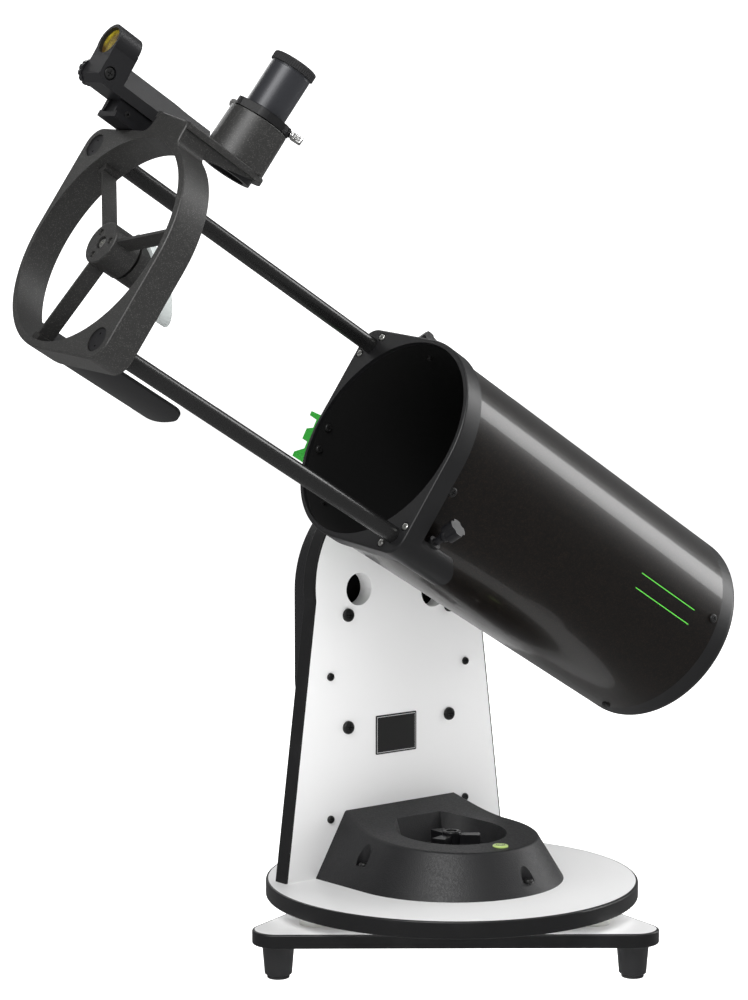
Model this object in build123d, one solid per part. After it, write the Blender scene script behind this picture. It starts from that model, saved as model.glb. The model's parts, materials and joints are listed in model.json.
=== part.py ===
from build123d import *
import os
from math import acos, atan2, cos, degrees, pi, radians, sin, sqrt

# Table-top Dobsonian telescope: a collapsible Newtonian tube on a one-armed rocker stand.
# Frame: origin on the surface that it stands on, in the middle of the box round the telescope;
# +Z up, -X the way the tube looks out, +Y from the tube towards the arm. Millimetres and degrees.

os.makedirs("parts", exist_ok=True)

# ---------------------------------------------------------------- driving dimensions
azimuth_x, azimuth_y = 111.6, 10.7   # the azimuth axis, from the origin

# stand: three feet, ground board, round board
foot_circle_r = 177.7
foot_angles = [170.5, 290.5, 50.5]
foot_top_r, foot_low_r, foot_height = 14.2, 11.9, 30.5
pad_r, pad_height = 9.8, 5.0
corner_r = 20.6              # rounding of the ground board's three corners
ground_board_t = 12.3
board_gap = 10.5             # filled by the glide pads
round_board_r, round_board_t = 165.6, 15.0
edging_bulge = 2.2           # T-moulding on the boards' edges
edging_round = 1.6
glide_r, glide_circle_r = 15.0, 140.0

# azimuth pivot and its knob
pivot_r = 5.0
pivot_fit = 0.05             # radial running clearance of pins in their bores
bush_r, bush_flange_r, bush_flange_t = 9.0, 14.0, 1.5
knob_hub_r, knob_lobe_reach, knob_lobe_t = 8.5, 26.0, 6.5
knob_height, knob_floor_gap = 17.0, 0.5

# base housing
housing_r = 101.0            # plan radius at the board
housing_draft = 31.0         # degrees from upright
housing_back_h, housing_mid_h, housing_front_h = 57.5, 42.0, 35.5
housing_mid_y = 12.0
housing_wall = 3.5
recess_r, recess_back_y, recess_floor_h, recess_draft = 45.0, 38.0, 24.0, 17.0
level_r, level_y = 7.2, -64.5
pocket_r = 7.0

# arm
arm_centre_x = -2.3
arm_face_y = 70.2            # the face towards the tube
arm_t = 16.0
arm_foot_half_w = 130.6
arm_top_r, arm_top_z = 98.0, 330.0
grip_hole_r = 14.8
grip_holes = ((-47.9, 326.6), (41.9, 318.5))   # from the arm's middle line, and up
large_screw_dx, large_screw_z, large_screw_r = 61.1, (201.5, 303.8), 6.0
small_screw_dx, small_screw_z, small_screw_r = 81.6, (119.9, 249.5), 3.6

# housing on the outer side of the arm
back_r, back_z, back_low_z, back_depth, back_wall = 96.5, 326.0, 188.0, 20.0, 3.5
back_corner_r = 58.0

# altitude bearing and dovetail saddle
altitude_z = 397.8
altitude_pin_r = 6.0
bearing_r, bearing_t = 34.0, 6.0
saddle_l, saddle_w, saddle_t = 86.0, 66.0, 15.6
altitude_knob_r, altitude_knob_t = 27.0, 24.0

# dovetail bar
bar_l, bar_w, bar_h, bar_rear = 210.0, 44.0, 15.0, 150.0
bar_flare = 3.6              # how much narrower each side is at the foot
bar_web = 3.0

# tube; lengths along it are measured from the joint between tube and rear cell
tube_angle = 29.24           # altitude at rest
tube_r, tube_wall = 91.0, 1.2
balance_point = 210.5        # the altitude axis
ring_r, ring_front, ring_depth, ring_lip = 94.1, 362.0, 17.8, 4.0
opening_r = 90.0
rear_cell_l, rear_cell_round = 24.0, 9.0
mirror_r, mirror_t, mirror_rim, focal_length = 76.5, 22.0, 30.0, 750.0
collimation_r, collimation_angle = 70.0, 100.0

# truss rods, their guides and locks
rod_r, rod_x, rod_y = 7.15, 86.6, 64.4
rod_fit = 0.08
ear_r = 16.0
tongue_l, tongue_wall, tongue_round = 46.0, 2.6, 14.0
lock_along, lock_head = 329.0, 36.0
cage_travel = 200.0

# upper cage
cage_r, cage_opening_r, cage_front, cage_depth = 95.0, 88.8, 685.9, 26.0
cage_wall, cage_face = 3.0, 3.5
hub_r, hub_recess, hub_l, vane_t, vane_d = 17.8, 5.6, 24.0, 2.4, 14.0
holder_gap, holder_r = 2.6, 17.2
diagonal_minor_r, diagonal_t, diagonal_shift = 24.3, 8.0, 2.4
shield_l, shield_t, shield_r, shield_half_angle, shield_tongue = 95.0, 2.0, 93.4, 35.0, 5.0

# focuser and eyepiece; heights are measured from the tube's axis
focuser_angle, focuser_along = 16.0, 622.2
platform_top, platform_t, platform_half_w = 110.4, 5.5, 27.5
barrel_r, barrel_top, barrel_bore_r = 25.3, 146.8, 20.95
drawtube_bore_r = 15.9
clamp_r, clamp_low, clamp_top = 24.5, 147.6, 154.2
thumb_angles = (144.0, 284.0)
nose_r, nose_low = 15.82, 126.0
eyepiece_r, eyepiece_top, eyecup_r, eyecup_top = 17.3, 193.2, 18.7, 200.2

# red-dot finder, in its own frame: x forward from the cage's face, z out from the tube's axis
finder_y = -44.0
finder_half_w = 13.0
hoop_r, hoop_bore_r, hoop_z = 14.2, 11.4, 145.5
hoop_front, hoop_rear = 46.8, 25.0

# ---------------------------------------------------------------- frames
board_low_z = foot_height
board_top_z = board_low_z + ground_board_t
table_low_z = board_top_z + board_gap
table_z = table_low_z + round_board_t          # top of the round board
arm_back_y = arm_face_y + arm_t
stack = bearing_t + saddle_t + bar_h + (ring_r - tube_r) + 0.3
tube_axis_y = arm_face_y - stack - tube_r
angle = radians(tube_angle)
sky = Vector(-cos(angle), 0, sin(angle))        # out along the tube
tube_up = Vector(sin(angle), 0, cos(angle))
altitude_centre = Vector(arm_centre_x, tube_axis_y, altitude_z)
tube_frame = Plane(altitude_centre - sky * balance_point, x_dir=tube_up, z_dir=sky).location
whole = Pos(azimuth_x, azimuth_y, 0)


def radial(turn, along):
    """Frame on the tube's axis: x out to the sky, z away from the axis at an angle from its top."""
    out = (cos(radians(turn)), -sin(radians(turn)), 0)
    return Plane((0, 0, along), x_dir=(0, 0, 1), z_dir=out).location


def cyl(r, low, high):
    """Upright cylinder between two heights."""
    return Pos(0, 0, low) * Cylinder(r, high - low, align=(Align.CENTER, Align.CENTER, Align.MIN))


def cone(r_low, r_high, low, high):
    """Upright cone between two heights."""
    return Pos(0, 0, low) * Cone(r_low, r_high, high - low, align=(Align.CENTER, Align.CENTER, Align.MIN))


def block(x, y, z):
    """Box between pairs of limits."""
    size = (x[1] - x[0], y[1] - y[0], z[1] - z[0])
    return Pos(x[0], y[0], z[0]) * Box(*size, align=(Align.MIN, Align.MIN, Align.MIN))


def prism(points, low, high, plane=Plane.XY):
    """Straight-sided outline, extruded between two offsets of a plane."""
    outline = make_face(Polyline(*points, close=True))
    return extrude(plane.offset(low) * outline, high - low)


def screw(head_r, head_h, shank_r, shank_l):
    """Domed screw with a cross recess, its head on the plane z=0 and its shank below."""
    head = fillet(cyl(head_r, 0, head_h).edges().group_by(Axis.Z)[-1], head_h * 0.6)
    slot = head_r * 0.55
    cross = Pos(0, 0, head_h) * (Box(2 * slot, slot * 0.35, head_h) + Box(slot * 0.35, 2 * slot, head_h))
    return head - cross + cyl(shank_r, -shank_l, 0)


def knob(reach, height, lobes, dip):
    """Lobed knob: a disc with rounded flutes round its rim and softened faces."""
    body = cyl(reach, 0, height)
    for i in range(lobes):
        body -= Rot(0, 0, 360 * (i + 0.5) / lobes) * Pos(reach + dip, 0, 0) * cyl(2 * dip, -1, height + 1)
    return body


def placed(parts, location):
    return [location * p for p in parts]


def save(name, solids):
    """Write one node, moved from the azimuth axis's frame to the telescope's own."""
    solids = solids if isinstance(solids, (list, tuple)) else [solids]
    bodies = [whole * s for shape in solids for s in shape.solids()]
    export_step(bodies[0] if len(bodies) == 1 else Compound(children=bodies), f"parts/{name}.step")


# ---------------------------------------------------------------- ground board and feet
foot_places = [Rot(0, 0, a) * Pos(foot_circle_r, 0, 0) for a in foot_angles]


def triangle(r):
    """Ground board's outline: three corner rounds and the straight sides that meet them."""
    outline = Sketch()
    centres = [Vector(foot_circle_r * cos(radians(a)), foot_circle_r * sin(radians(a))) for a in foot_angles]
    outline += make_face(Polyline(*[(c.X, c.Y) for c in centres], close=True))
    for i, c in enumerate(centres):
        n = centres[(i + 1) % 3]
        side = (n - c).normalized()
        out = Vector(side.Y, -side.X) * r
        outline += make_face(Polyline(*[(v.X, v.Y) for v in (c, c + out, n + out, n)], close=True))
        outline += Pos(c.X, c.Y) * Circle(r)
    return outline


def banded(outline_of, r, low, high):
    """A board and the rounded T-moulding on its edge."""
    board = extrude(Pos(0, 0, low) * outline_of(r), high - low)
    blank = extrude(Pos(0, 0, low) * outline_of(r + edging_bulge), high - low)
    rims = blank.edges().group_by(Axis.Z)[0] + blank.edges().group_by(Axis.Z)[-1]
    return board, fillet(rims, edging_round) - board


pivot_low_z = board_low_z - 6.0
knob_low_z = table_z + recess_floor_h + knob_floor_gap
pivot_top_z = knob_low_z + knob_height - 1.5

ground_board, ground_edging = banded(triangle, corner_r, board_low_z, board_top_z)
foot_screw_r, foot_screw_l = 2.5, 22.0
ground_board -= cyl(pivot_r, board_low_z, board_top_z)
for place in foot_places:
    ground_board -= place * cyl(foot_screw_r, board_low_z, board_low_z + 10)
save("ground_board", ground_board)
save("ground_board_edging", ground_edging)

foot = cone(foot_low_r, foot_top_r, pad_height - 1.5, foot_height)
foot = fillet(foot.edges().group_by(Axis.Z)[0], 1.2)
foot -= cyl(pad_r, 0, pad_height) + cyl(foot_screw_r, 0, foot_height + 1)
foot -= cyl(2 * foot_screw_r, 0, pad_height + 4)
pad = cyl(pad_r, 0, pad_height) - cyl(2 * foot_screw_r, pad_height - 2.5, pad_height)
pad = fillet(pad.edges().group_by(Axis.Z)[0], 1.0)
foot_screw = cyl(2 * foot_screw_r, pad_height - 2.0, pad_height + 4)
foot_screw += cyl(foot_screw_r, pad_height + 4, board_low_z + 10)
save("feet", [p * foot for p in foot_places])
save("foot_pads", [p * pad for p in foot_places])
save("foot_screws", [p * foot_screw for p in foot_places])

glide = cyl(glide_r, board_top_z, table_low_z)
glide = fillet(glide.edges().group_by(Axis.Z)[-1], 1.5)
save("glide_pads", [Rot(0, 0, a) * Pos(glide_circle_r, 0, 0) * glide for a in foot_angles])

# bolt from below the ground board up through the round board, with a collar between the boards
pivot = cyl(pivot_r, board_low_z, pivot_top_z) + extrude(
    Pos(0, 0, pivot_low_z) * RegularPolygon(9.0, 6), board_low_z - pivot_low_z)
pivot += cyl(bush_r, board_top_z, table_low_z - bush_flange_t - 0.3)
save("pivot_bolt", pivot)

# ---------------------------------------------------------------- round board
round_board, round_edging = banded(Circle, round_board_r, table_low_z, table_z)
round_board -= cyl(bush_r, table_low_z, table_z)
save("round_board", round_board)
save("round_board_edging", round_edging)
bush = cyl(bush_r, table_low_z, table_z + 2.0) + cyl(bush_flange_r, table_low_z - bush_flange_t, table_low_z)
bush -= cyl(pivot_r + pivot_fit, 0, pivot_top_z)
save("pivot_bush", bush)

# ---------------------------------------------------------------- base housing


def housing_form(r, top_drop, back_y):
    """Drafted U-shaped mound: straight sides run back to the arm, and the top falls to the front."""
    plan = Circle(r) + Pos(0, 150) * Rectangle(2 * r, 300)
    mound = extrude(Pos(0, 0, table_z) * plan, 75, taper=housing_draft)
    crest = [(back_y, housing_back_h), (housing_mid_y, housing_mid_h), (-r - 10, housing_front_h)]
    p = [(y, table_z + h - top_drop) for y, h in crest]
    ridge = Spline(p[0], p[1], tangents=[(-1.0, -0.36), (-1.0, -0.062)]) + Line(p[1], p[2])
    walls = Line(p[2], (p[2][0], table_z + 90)) + Line((p[2][0], table_z + 90), (p[0][0], table_z + 90))
    walls += Line((p[0][0], table_z + 90), p[0])
    above = extrude(Plane.YZ * make_face((ridge + walls).edges()), 2 * r, both=True)
    return mound - above - block((-2 * r, 2 * r), (back_y, 400), (0, 500))


def recess_form(grow, floor_drop):
    """Dished well round the azimuth knob, its back wall straight and its walls leaning out."""
    r = recess_r + grow
    plan = Circle(r) - Pos(0, recess_back_y + grow + r) * Rectangle(4 * r, 2 * r)
    low = table_z + recess_floor_h - floor_drop
    return extrude(Pos(0, 0, low) * plan, 40, taper=-recess_draft)


base_housing = housing_form(housing_r, 0, arm_face_y)
ridge_edges = [e for e in base_housing.edges()
               if e.center().Z > table_z + 30 and e.center().Y < arm_face_y - 1]
base_housing = fillet(ridge_edges, 3.0)
cavity = housing_form(housing_r - housing_wall / cos(radians(housing_draft)), housing_wall,
                      arm_face_y - housing_wall)
cavity -= recess_form(housing_wall, housing_wall)
base_housing -= cavity
base_housing -= recess_form(0, 0)
base_housing -= cyl(pivot_r + 0.6, table_z, table_z + recess_floor_h + 1)
level_z = table_z + housing_front_h + 1.2
base_housing -= Pos(0, level_y, 0) * cyl(level_r, level_z, level_z + 20)
base_housing += Pos(0, level_y, 0) * (cyl(level_r + 2, level_z - 5, level_z) & housing_form(housing_r - 1, 1, 70))

# fixing screws stand in wells sunk into the sloping wall, one at each side and one in front
wells = ((180.0, 21.0, 86.0, 18.0), (0.0, 21.0, 86.0, 18.0), (274.0, 0.0, 94.0, 10.0))
housing_screws = []
for turn, back, reach, floor in wells:
    place = Pos(0, back, table_z) * Rot(0, 0, turn) * Pos(reach, 0, 0)
    base_housing += (place * cyl(pocket_r + 2.5, 0, 60)) & housing_form(housing_r, 0.6, arm_face_y)
    base_housing -= place * cyl(pocket_r, floor, 60)
    base_housing -= place * cyl(2.3, 0, floor + 1)
    housing_screws.append(place * Pos(0, 0, floor) * screw(4.2, 3.0, 2.2, floor))
save("base_housing", base_housing)
save("housing_screws", housing_screws)

vial = Pos(0, level_y, 0) * cyl(level_r - 0.1, level_z, level_z + 2.6)
save("bubble_level", fillet(vial.edges().group_by(Axis.Z)[-1], 1.0))

# azimuth knob: a hub on the pivot's thread and three blades that swell to their tips
blade = [(0, -3.2), (knob_lobe_reach - 1, -knob_lobe_t), (knob_lobe_reach, 0),
         (knob_lobe_reach - 1, knob_lobe_t), (0, 3.2)]
azimuth_knob = cyl(knob_hub_r, 0, knob_height) + cyl(knob_lobe_reach * 0.62, 0, 4)
for i in range(3):
    wing = prism(blade, 0, knob_height - 3.0)
    azimuth_knob += Rot(0, 0, 120 * i + 80) * wing
azimuth_knob = fillet(azimuth_knob.edges().group_by(Axis.Z)[-1], 1.5)
azimuth_knob -= cyl(pivot_r + pivot_fit, -1, knob_height + 1)
save("azimuth_knob", Pos(0, 0, knob_low_z) * azimuth_knob)

# ---------------------------------------------------------------- arm


def arm_outline(grow):
    """Tapering board with a round top, the sides tangent to it, seen from the tube."""
    drop = arm_top_z - table_z
    half = arm_foot_half_w
    reach = sqrt(half ** 2 + drop ** 2)
    turn = atan2(drop, half) - acos(arm_top_r / reach)      # direction of the side's normal
    tx, tz = arm_top_r * cos(-turn), arm_top_r * sin(-turn)
    grow_x = grow / cos(turn)
    side = make_face(Polyline((-half - grow_x, -drop), (half + grow_x, -drop),
                              (tx + grow * cos(turn), -tz + grow * sin(-turn) * -1),
                              (-tx - grow * cos(turn), -tz + grow * sin(-turn) * -1), close=True))
    return side + Circle(arm_top_r + grow)


arm_plane = Plane((arm_centre_x, arm_face_y, arm_top_z), x_dir=(1, 0, 0), z_dir=(0, -1, 0))


def arm_slab(outline, front, back):
    """Extrude an outline across the arm, from one depth behind its face to another."""
    return extrude(arm_plane.offset(-back) * outline, back - front)


def through_arm(r, x, z, front, back):
    """Cylinder across the arm at a place on its face."""
    frame = Plane((arm_centre_x + x, arm_face_y + back, z), x_dir=(1, 0, 0), z_dir=(0, -1, 0))
    return frame.location * cyl(r, 0, back - front)


arm_board = arm_slab(arm_outline(0), 0, arm_t)
blank = arm_slab(arm_outline(edging_bulge), 0, arm_t)
rims = [e for e in blank.edges() if abs(e.center().Y - arm_face_y) < 0.01 or abs(e.center().Y - arm_back_y) < 0.01]
arm_edging = fillet([e for e in rims if e.center().Z > table_z + 0.1], edging_round) - arm_board
arm_edging -= block((-400, 400), (0, 400), (0, table_z))
arm_board -= through_arm(altitude_pin_r + 2.0, 0, altitude_z, -1, arm_t + 1)
for x, z in grip_holes:
    arm_board -= through_arm(grip_hole_r, x, z, -1, arm_t + 1)
arm_screws, small_screws = [], []
for side in (-1, 1):
    for z in large_screw_z:
        arm_board -= through_arm(3.0, side * large_screw_dx, z, -1, arm_t + 1)
        place = Plane((arm_centre_x + side * large_screw_dx, arm_face_y, z), x_dir=(1, 0, 0),
                      z_dir=(0, -1, 0)).location
        arm_screws.append(place * screw(large_screw_r, 3.4, 2.9, arm_t + 6))
    for z in small_screw_z:
        arm_board -= through_arm(2.2, side * small_screw_dx, z, -1, 12)
        place = Plane((arm_centre_x + side * small_screw_dx, arm_face_y, z), x_dir=(1, 0, 0),
                      z_dir=(0, -1, 0)).location
        small_screws.append(place * screw(small_screw_r, 2.6, 2.1, 11))
save("arm_board", arm_board)
save("arm_board_edging", arm_edging)
save("arm_screws", arm_screws)
save("arm_trim_screws", small_screws)

# moulded housing on the arm's outer side, open towards the board, with bosses for its screws


def back_outline(grow):
    """Round top and straight sides down to a rounded lower edge."""
    r = back_r + grow
    legs = Pos(0, (back_low_z - back_z - grow) / 2) * Rectangle(2 * r, back_z - back_low_z + grow)
    return Circle(r) + fillet(legs.vertices().group_by(Axis.Y)[0], back_corner_r + grow)


back_plane = Plane((arm_centre_x, arm_back_y, back_z), x_dir=(1, 0, 0), z_dir=(0, -1, 0))


def back_slab(outline, depth):
    return extrude(back_plane.offset(-depth) * outline, depth)


arm_housing = back_slab(back_outline(0), back_depth)
arm_housing = fillet(arm_housing.edges().group_by(Axis.Y)[-1], 5.0)
arm_housing -= back_slab(back_outline(-back_wall), back_depth - back_wall)
for side in (-1, 1):
    for z in large_screw_z:
        arm_housing += through_arm(6.0, side * large_screw_dx, z, arm_t, arm_t + back_depth - 2)
        arm_housing -= through_arm(2.9, side * large_screw_dx, z, 0, arm_t + 8)
arm_housing += through_arm(bearing_r, 0, altitude_z, arm_t, arm_t + back_depth)
arm_housing -= through_arm(altitude_pin_r + 2.0, 0, altitude_z, 0, 60)
save("arm_housing", arm_housing)

# ---------------------------------------------------------------- altitude bearing and saddle
saddle_frame = Plane(altitude_centre + Vector(0, tube_r + ring_r - tube_r + 0.3, 0),
                     x_dir=tube_up, z_dir=sky).location


def across(r, low, high):
    """Cylinder on the altitude axis, between two distances from the dovetail's foot."""
    place = Plane((0, low, 0), x_dir=(1, 0, 0), z_dir=(0, 1, 0)).location
    return place * cyl(r, 0, high - low)


bar_foot_w = bar_w - 2 * bar_flare
saddle_y0, saddle_y1 = bar_h * 0.35, bar_h + saddle_t
jaw_fit = 0.25
half, foot_half = bar_w / 2 + jaw_fit, bar_foot_w / 2 + jaw_fit
groove = [(-foot_half, 0), (foot_half, 0), (half, bar_h), (half, bar_h + 0.4), (-half, bar_h + 0.4), (-half, bar_h)]
saddle = prism([(-saddle_w / 2, saddle_y0), (saddle_w / 2, saddle_y0), (saddle_w / 2, saddle_y1 - 6),
                (saddle_w / 2 - 8, saddle_y1), (-saddle_w / 2 + 8, saddle_y1), (-saddle_w / 2, saddle_y1 - 6)],
               -saddle_l / 2, saddle_l / 2)
corners = saddle.edges().filter_by(Axis.Y)
saddle = fillet(corners, 5.0)
saddle -= prism(groove, -saddle_l, saddle_l)
jaw_space = block((-saddle_w, -bar_foot_w / 2 + 3.0), (0, bar_h + 4.0), (-saddle_l * 0.3, saddle_l * 0.3))
saddle -= jaw_space
jaw = block((-saddle_w / 2 + 3, -bar_foot_w / 2 + 2.0), (saddle_y0, bar_h + 3.6),
            (-saddle_l * 0.3 + 0.5, saddle_l * 0.3 - 0.5)) - prism(groove, -saddle_l, saddle_l)
saddle += across(bearing_r, bar_h + saddle_t - 6, bar_h + saddle_t)
pin_low = bar_h + 4.5
pin_end = bar_h + saddle_t + bearing_t + arm_t + back_depth + altitude_knob_t + 3
saddle -= across(altitude_pin_r, pin_low, bar_h + saddle_t + 1)
clamp_screw_y, clamp_screw_r = bar_h * 0.72, 3.0
screw_place = Plane((0, clamp_screw_y, 0), x_dir=(0, 0, 1), z_dir=(-1, 0, 0)).location
outer_wall = block((-saddle_w / 2 - 4, -saddle_w / 2 + 2.7), (saddle_y0, bar_h + 6.0), (-12, 12))
saddle += fillet(outer_wall.edges().filter_by(Axis.X), 3.0)
saddle -= screw_place * cyl(clamp_screw_r + pivot_fit, saddle_w / 2 - 4, saddle_w / 2 + 10)
saddle_knob = screw_place * (cyl(clamp_screw_r, saddle_w / 2 - 3, saddle_w / 2 + 9)
                             + Pos(0, 0, saddle_w / 2 + 5) * knob(11.0, 15.0, 6, 1.6))
altitude_bolt = across(altitude_pin_r, pin_low, pin_end)
save("saddle", saddle_frame * saddle)
save("saddle_jaw", saddle_frame * jaw)
save("saddle_knob", saddle_frame * saddle_knob)
save("altitude_bolt", saddle_frame * altitude_bolt)
disc = across(bearing_r - 1.0, bar_h + saddle_t + 0.3, bar_h + saddle_t + bearing_t)
disc -= across(altitude_pin_r + 0.3, 0, 100)
save("altitude_disc", saddle_frame * disc)
bush_low, bush_high = bar_h + saddle_t + bearing_t, bar_h + saddle_t + bearing_t + arm_t + back_depth
sleeve = across(altitude_pin_r + 2.0, bush_low, bush_high) - across(altitude_pin_r + pivot_fit, 0, 200)
save("altitude_bush", saddle_frame * sleeve)
tension = knob(altitude_knob_r, altitude_knob_t, 7, 3.0)
tension = fillet(tension.edges().group_by(Axis.Z)[-1], 2.0)
tension -= cyl(altitude_pin_r + pivot_fit, -1, altitude_knob_t + 1)
tension_place = Plane((0, bush_high + 0.5, 0), x_dir=(1, 0, 0), z_dir=(0, 1, 0)).location
save("altitude_knob", saddle_frame * tension_place * tension)

# ---------------------------------------------------------------- dovetail bar
bar_y0 = ring_r + 0.3
web = [(-bar_foot_w / 2, 0), (bar_foot_w / 2, 0), (bar_w / 2, bar_h), (bar_w / 2 - 4.2, bar_h),
       (bar_foot_w / 2 - 4.2, bar_web), (6, bar_web), (5, bar_h - 3.5), (-5, bar_h - 3.5), (-6, bar_web),
       (-bar_foot_w / 2 + 4.2, bar_web), (-bar_w / 2 + 4.2, bar_h), (-bar_w / 2, bar_h)]
bar = Pos(0, bar_y0, 0) * prism(web, bar_rear, bar_rear + bar_l)
for low in (bar_rear + 6, ring_front - ring_depth - 26):
    bar += block((-15, 15), (tube_r - 4, bar_y0 + 1), (low, low + 22)) - cyl(tube_r, 0, 400)
for low in (bar_rear + 17, ring_front - 10):
    for x in (-10.5, 10.5):
        hole = Plane((x, bar_y0 + bar_web, low), x_dir=(1, 0, 0), z_dir=(0, -1, 0)).location
        bar -= hole * cyl(2.1, -1, bar_web + 12)
save("dovetail_bar", tube_frame * bar)

# ---------------------------------------------------------------- tube, front ring, rear cell
tube_end = ring_front - ring_lip
main_tube = cyl(tube_r, 0, tube_end) - cyl(tube_r - tube_wall, -1, tube_end + 1)
rod_places = [Pos(rod_x, rod_y, 0), Pos(-rod_x, -rod_y, 0)]
rod_turn = degrees(atan2(rod_y, rod_x))
rod_reach = sqrt(rod_x ** 2 + rod_y ** 2)


def eared(r, ear):
    """Ring outline with an ear round each rod, joined to it by tangent lines."""
    outline = Sketch() + Circle(r)
    open_angle = degrees(acos((r - ear) / rod_reach))
    for side, place in ((0, rod_places[0]), (180, rod_places[1])):
        centre = Vector(*place.position)
        corner = []
        for sign in (-1, 1):
            n = radians(rod_turn + side + sign * open_angle)
            out = Vector(cos(n), sin(n))
            corner += [out * r, centre + out * ear][::sign]
        outline += make_face(Polyline(*[(c.X, c.Y) for c in corner], close=True))
        outline += place * Circle(ear)
    return outline


flat_angle = degrees(acos((cage_r - ear_r) / rod_reach)) - rod_turn   # the cage's top flat, from the top


def ring_blank(outline, low, high, soft):
    """Ring solid with its front rim softened."""
    body = extrude(Pos(0, 0, low) * outline, high - low)
    return fillet(body.edges().group_by(Axis.Z)[-1], soft)


front_ring = ring_blank(eared(ring_r, ear_r), ring_front - ring_depth, ring_front, 1.6)
pocket = extrude(Pos(0, 0, ring_front - ring_depth - 1) * eared(ring_r - 2.6, ear_r - 2.6), ring_depth - 2.4)
pocket -= cyl(ring_r - 0.2, 0, 400)
for place in rod_places:
    pocket -= place * cyl(rod_r + 3.2, 0, 400)
front_ring -= pocket
front_ring -= cyl(tube_r, 0, tube_end) + cyl(opening_r, tube_end - 1, ring_front + 1)

# rod guides behind the ears: a sleeve for the rod inside a rounded tongue, and a boss for the lock
guide_low = ring_front - ring_depth - tongue_l
for i, place in enumerate(rod_places):
    face_out = Rot(0, 0, rod_turn + 180 * i)
    shell = cyl(ear_r, guide_low, ring_front - ring_depth) - cyl(ear_r - tongue_wall, 0, ring_front)
    shell -= block((-50, 4.0), (-50, 50), (0, ring_front))
    tip = RectangleRounded(2 * tongue_l + 20, 2 * ear_r + 0.5, tongue_round)
    tip = extrude(Plane((0, 0, guide_low + tongue_l + 10), x_dir=(0, 0, 1), z_dir=(1, 0, 0)) * tip, 40)
    front_ring += place * face_out * (shell & tip)
    guide = cyl(rod_r + 3.2, guide_low + 8, ring_front - 2)
    web_plate = block((0, ear_r - 1), (-1.3, 1.3), (guide_low + 12, ring_front - ring_depth))
    root = block((-10, 0), (-4, 4), (ring_front - ring_depth - 18, ring_front - ring_depth + 3))
    root -= Rot(0, 0, -rod_turn - 180 * i) * Pos(-place.position) * cyl(tube_r + 0.1, 0, 400)
    front_ring += place * face_out * (guide + web_plate + root)
    front_ring -= place * cyl(rod_r + rod_fit, 0, 500)
tangent = Vector(sin(radians(rod_turn)), -cos(radians(rod_turn)))
lock_frames = [Plane(Vector(*p.position) + Vector(0, 0, lock_along), x_dir=(0, 0, 1),
                     z_dir=(tangent.X, tangent.Y, 0)).location for p in rod_places]
for place, frame in zip(rod_places, lock_frames):
    boss = frame * cyl(6.0, rod_r + 0.5, 17.0)
    front_ring += boss - place * cyl(rod_r + rod_fit, 0, 500)
    front_ring -= frame * cyl(3.0 + pivot_fit, 0, 40)

# a shallow dish round each rod holds the two screws of its guide
ear_screws = []
for i, place in enumerate(rod_places):
    face_out = Rot(0, 0, rod_turn + 180 * i)
    for side in (-1, 1):
        seat = place * face_out * Pos(0, side * 13.2, ring_front - 1.2)
        front_ring -= seat * cyl(3.9, 0, 5) + seat * cyl(1.6, -8, 1)
        ear_screws.append(seat * screw(3.2, 1.9, 1.55, 8))
save("ear_screws", placed(ear_screws, tube_frame))

ring_screws = []
ring_screw_angles, ring_screw_along = (-7.5, 112.5, 232.5), ring_front - ring_depth - 6.0
for turn in ring_screw_angles:
    seat = radial(turn, ring_screw_along)
    main_tube -= seat * cyl(1.8, tube_r - 5, tube_r + 1)
    ring_screws.append(seat * Pos(0, 0, tube_r) * screw(4.2, 2.6, 1.75, 4.5))
for x in (-10.5, 10.5):
    for low in (bar_rear + 17, ring_front - 10):
        seat = Plane((x, sqrt(tube_r ** 2 - x ** 2) - tube_wall - 0.7, low), x_dir=(1, 0, 0), z_dir=(0, -1, 0)).location
        front_ring -= seat * cyl(2.0, -12, 6)
        main_tube -= seat * cyl(2.0, -12, 6)
        ring_screws.append(seat * screw(3.4, 2.0, 1.9, 9.0))
save("front_ring", tube_frame * front_ring)
rear_angles, rear_along = (-3, 87, 177, 267), 7.4
for turn in rear_angles:
    seat = radial(turn, rear_along)
    main_tube -= seat * cyl(1.9, tube_r - 5, tube_r + 1)
    ring_screws.append(seat * Pos(0, 0, tube_r) * screw(4.0, 2.4, 1.85, 3.5))
save("main_tube", tube_frame * main_tube)
save("tube_screws", placed(ring_screws, tube_frame))

rear_cell = cyl(tube_r, -rear_cell_l, 0)
rear_cell = fillet(rear_cell.edges().group_by(Axis.Z)[0], rear_cell_round)
rear_cell += cyl(tube_r - tube_wall, 0, 16)
rear_cell -= cyl(tube_r - tube_wall - 4.5, -rear_cell_l + 6, 17)
rear_cell -= fillet(cyl(tube_r - 14, -rear_cell_l - 1, -rear_cell_l + 3).edges().group_by(Axis.Z)[-1], 1.5)
collimation_turns = [collimation_angle + 120 * i for i in range(3)]
push_turns = [t + 14 for t in collimation_turns]
back_in = -rear_cell_l + 3
for turn in collimation_turns + push_turns:
    spot = radial(turn, 0) * Pos(0, 0, collimation_r)
    centre = Pos(*spot.position)
    rear_cell += centre * cyl(6.5, back_in - 1.5, back_in + 3)
    rear_cell -= centre * cyl(2.6, -rear_cell_l - 5, 10)
for turn in rear_angles:
    rear_cell -= radial(turn, rear_along) * cyl(1.85, tube_r - 8, tube_r)
for i in range(6):
    rib = block((30, tube_r - tube_wall - 4), (-1.5, 1.5), (back_in + 2.5, back_in + 8))
    rear_cell += Rot(0, 0, 60 * i + 10) * rib
save("rear_cell", tube_frame * rear_cell)

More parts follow.
